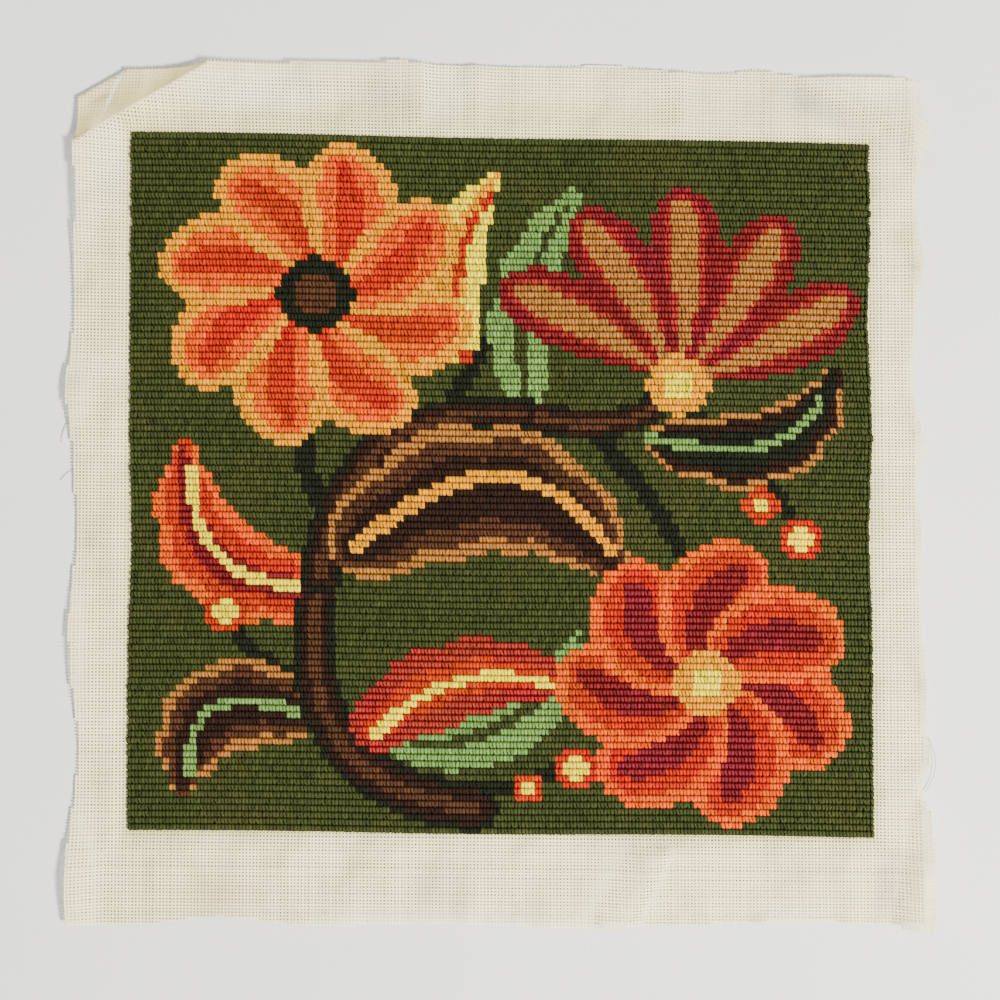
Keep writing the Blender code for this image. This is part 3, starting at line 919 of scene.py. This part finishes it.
def make_threads(name, direction, material, grid):
    """The warps or the wefts, from cut edge to cut edge, over and under where they show."""
    wefts, warps, flat, face, normal = grid
    to_cut = -past_cut(flat)
    beside, turned, shut = weave_looks(flat)
    last_weft, last_warp = ROW_COUNT * WEFTS_IN_ROW, STITCHES_ACROSS
    if direction == "warp":
        crossings, threads, last, last_thread, first_up = wefts, warps, last_weft, last_warp, 1.0
    else:
        crossings, threads, last, last_thread, first_up = warps, wefts, last_warp, last_weft, -1.0
    points, faces = [], []
    numbers = {"tone": [], "turned": [], "beside": [], "aside": []}
    made = 0
    for k, thread in enumerate(threads):
        pick = (slice(None), k) if direction == "warp" else (k, slice(None))
        thread_width = THREAD_WIDTH * (1 + rng.normal(0, THREAD_WIDTH_SPREAD))
        tone = np.clip(rng.normal(THREAD_TONE, THREAD_TONE_SPREAD), 0, 1)
        for kept in runs_of(to_cut[pick] > 0):
            steps = crossings[kept]
            hidden = (steps > 1) & (steps < last - 1) & (0 < thread < last_thread)
            shown = ~hidden | (steps % HIDDEN_STEP == 0)
            kept, steps, hidden = kept[shown], steps[shown], hidden[shown]
            ups = np.where(hidden, 0.0, np.where((steps + thread) % 2 == 0, first_up, -first_up))
            middles = face[pick][kept] - normal[pick][kept] * THREAD_DEPTH
            middles = with_cut_ends(middles, to_cut[pick][kept[[0, -1]]])
            kept = np.concatenate((kept[:1], kept, kept[-1:]))
            ups = np.concatenate(([0.0], ups, [0.0]))
            widths = thread_width * (1 + shut[pick][kept])
            rings = thread_points(middles, normal[pick][kept], ups, widths)
            faces += tube_faces(len(rings), 3, made)
            points.append(rings.reshape(-1, 3))
            rims = 1 - TURNED_EVEN * turned[pick][kept]
            numbers["tone"].append(np.full(len(rings) * 3, tone))
            numbers["turned"].append(np.repeat(turned[pick][kept], 3))
            numbers["beside"].append(np.repeat(beside[pick][kept], 3))
            numbers["aside"].append(np.outer(rims, (-1.0, 0.0, 1.0)).ravel())
            made += len(rings) * 3
    values = {value_name: np.concatenate(value) for value_name, value in numbers.items()}
    piece = new_piece(name, np.concatenate(points), faces, material, "canvas", values)
    keep_rims(piece.data)
    return piece


# Cotton fibres that have come loose at the cut edges, each along a bend of three places in mm.
# They are thinner than the render can show, so they are drawn coarser and darker.
FIBRES = (
    ((-228.0, 41.0, 1.2), (-232.5, 35.0, 0.8), (-233.0, 28.0, 0.3)),
    ((-224.0, 15.0, 1.6), (-230.0, 12.5, 1.0), (-233.5, 8.0, 0.3)),
    ((225.6, -127.0, 1.6), (235.0, -143.0, 2.4), (224.5, -157.0, 1.4)),
)
FIBRE_RADIUS = 0.17 * MM
FIBRE_STEPS = 12
FIBRE_TONE = -3.2


def make_fibres(material):
    """The loose fibres, as one piece of thin closed tubes."""
    points, faces = [], []
    t = np.linspace(0, 1, FIBRE_STEPS)[:, None]
    for k, bend in enumerate(np.array(FIBRES) * MM):
        route = (1 - t) ** 2 * bend[0] + 2 * t * (1 - t) * bend[1] + t**2 * bend[2]
        along = np.gradient(route, axis=0)
        along /= np.linalg.norm(along, axis=1)[:, None]
        aside = np.cross(along, (0, 0, 1))
        aside /= np.linalg.norm(aside, axis=1)[:, None]
        above = np.cross(aside, along)
        angles = [2 * math.pi * side / 3 for side in range(3)]
        turns = [aside * math.cos(a) + above * math.sin(a) for a in angles]
        rings = route[:, None, :] + FIBRE_RADIUS * np.stack(turns, axis=1)
        faces += tube_faces(FIBRE_STEPS, 3, k * FIBRE_STEPS * 3)
        points.append(rings.reshape(-1, 3))
    points = np.concatenate(points)
    values = {name: np.zeros(len(points)) for name in ("turned", "beside", "aside")}
    values["tone"] = np.full(len(points), FIBRE_TONE)
    return new_piece("loose_fibres", points, faces, material, "canvas", values)


def make_canvas():
    """The canvas: its warps and its wefts, and what it was cut to."""
    material = sized_cotton()
    grid = thread_grid()
    warp = make_threads("canvas_warp", "warp", material, grid)
    weft = make_threads("canvas_weft", "weft", material, grid)
    fibres = make_fibres(material)


# The floor under the panel: bleached cotton cloth pulled flat, matt and pale with a fine grain
FLOOR_SIZE = 6.0
FLOOR_DRIFT = 160 * MM
CLOTH_GRAIN = 1.1 * MM
CLOTH_LEAST = 0.83
CLOTH_GRAIN_SHARE = 0.36


def make_floor():
    material, shader = new_material("bleached_cotton_cloth", 0.9, 0.0)
    place = add_node(material, "ShaderNodeTexCoord").outputs["Object"]
    drift = add_node(material, "ShaderNodeTexNoise", Vector=place, Scale=1 / FLOOR_DRIFT, Detail=2.0)
    colour = add_node(
        material, "ShaderNodeMix", {"data_type": "RGBA"},
        _0=drift.outputs["Fac"], _6=linear("#dddedd"), _7=linear("#ecebe7"),
    )
    grain = add_node(material, "ShaderNodeTexNoise", Vector=place, Scale=1 / CLOTH_GRAIN, Detail=2.0)
    grained = add_node(
        material, "ShaderNodeMath", {"operation": "MULTIPLY_ADD"},
        _0=grain.outputs["Fac"], _1=CLOTH_GRAIN_SHARE, _2=CLOTH_LEAST,
    )
    woven = add_node(
        material, "ShaderNodeHueSaturation", Value=grained.outputs[0], Color=colour.outputs[2],
    )
    material.node_tree.links.new(woven.outputs["Color"], shader.inputs["Base Color"])
    bpy.ops.mesh.primitive_plane_add(size=FLOOR_SIZE)
    floor = bpy.context.object
    floor.name = "floor"
    floor.data.materials.append(material)


def make_light(name, place, size, watts, colour):
    lamp = bpy.data.lights.new(name, "AREA")
    lamp.size = size
    lamp.energy = watts
    lamp.color = linear(colour)[:3]
    obj = bpy.data.objects.new(name, lamp)
    bpy.context.scene.collection.objects.link(obj)
    obj.location = place
    away = -obj.location
    obj.rotation_euler = away.to_track_quat("-Z", "Y").to_euler()


def make_lights():
    """A soft key from the lower right, a wide fill from the other side and an even sky."""
    make_light("key", (1.3, -0.8, 1.85), 0.4, 173, "#fffcf4")
    make_light("fill", (-0.9, 1.5, 1.7), 2.0, 30, "#f6f8ff")
    world = bpy.data.worlds.new("studio")
    world.use_nodes = True
    background = world.node_tree.nodes["Background"]
    background.inputs["Color"].default_value = linear("#f4f5f8")
    background.inputs["Strength"].default_value = 0.475
    bpy.context.scene.world = world


# The camera looks straight down at the photograph's middle from the height at which a 50 mm lens
# takes in its width
CAMERA_AIM = (-0.3 * MM, -2.4 * MM)
CAMERA_HEIGHT = 0.7365
LENS_MM = 50
SENSOR_MM = 36


def make_camera():
    data = bpy.data.cameras.new("camera")
    data.lens = LENS_MM
    data.sensor_width = SENSOR_MM
    camera = bpy.data.objects.new("camera", data)
    camera.location = (*CAMERA_AIM, CAMERA_HEIGHT)
    bpy.context.scene.collection.objects.link(camera)
    bpy.context.scene.camera = camera


make_camera()
make_floor()
make_lights()
make_needlework()
make_canvas()
